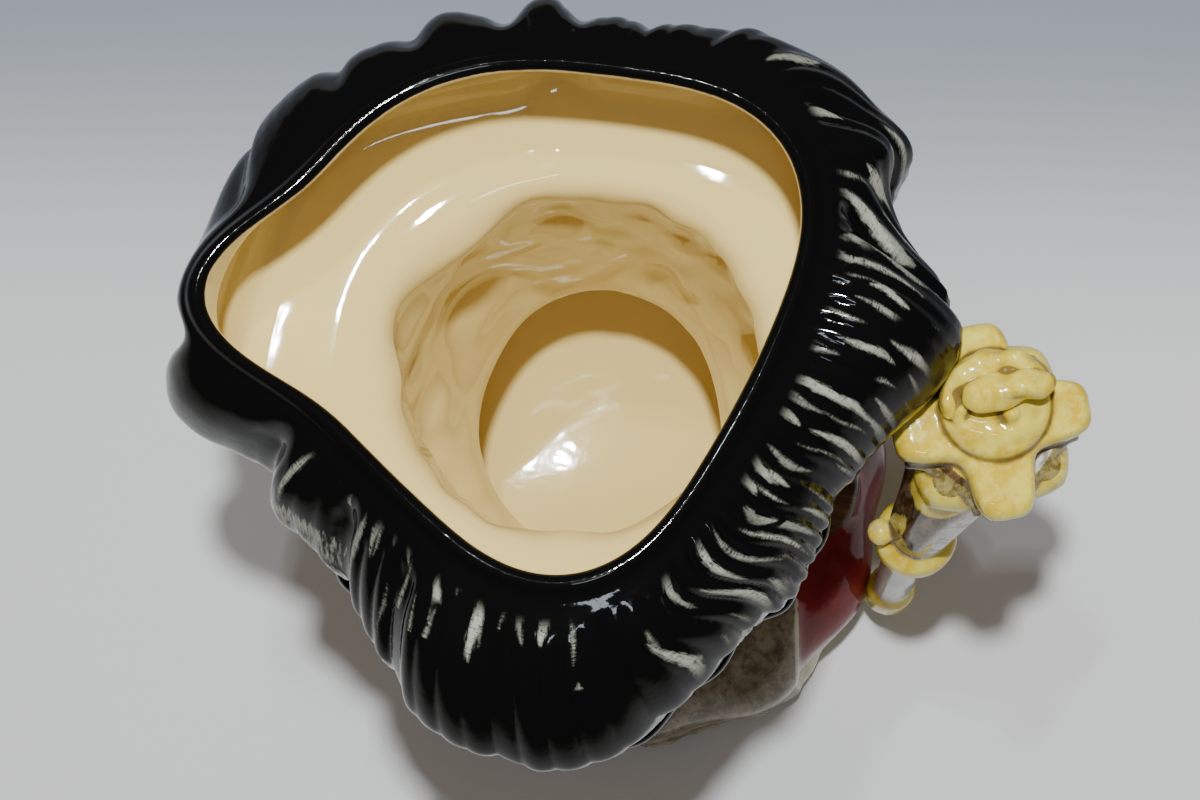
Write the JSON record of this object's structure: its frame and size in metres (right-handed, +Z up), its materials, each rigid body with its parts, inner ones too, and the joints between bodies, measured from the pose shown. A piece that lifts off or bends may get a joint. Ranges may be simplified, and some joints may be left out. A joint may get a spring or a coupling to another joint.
{
  "type": "toby jug",
  "caption": "Glazed earthenware toby jug: a cavalier's head and shoulders, a wide feathered hat as the mouth with a pouring lip, and a staff handle at one side.",
  "frame": {"origin": "middle of the flat underside, where the jug stands", "axes": "+Z up, the face looks along -Y, the handle is at +X and the pouring lip at -X"},
  "size_m": [0.2092, 0.1756, 0.19],
  "materials": {
    "glazed_earthenware": "clear high-gloss glaze over hand-painted colours: black hat, cream inside, natural face, brown hair, red robe, brown-grey tabard and yellow handle"
  },
  "bodies": {
    "root": {"jug": "glazed_earthenware"}
  },
  "joints": []
}
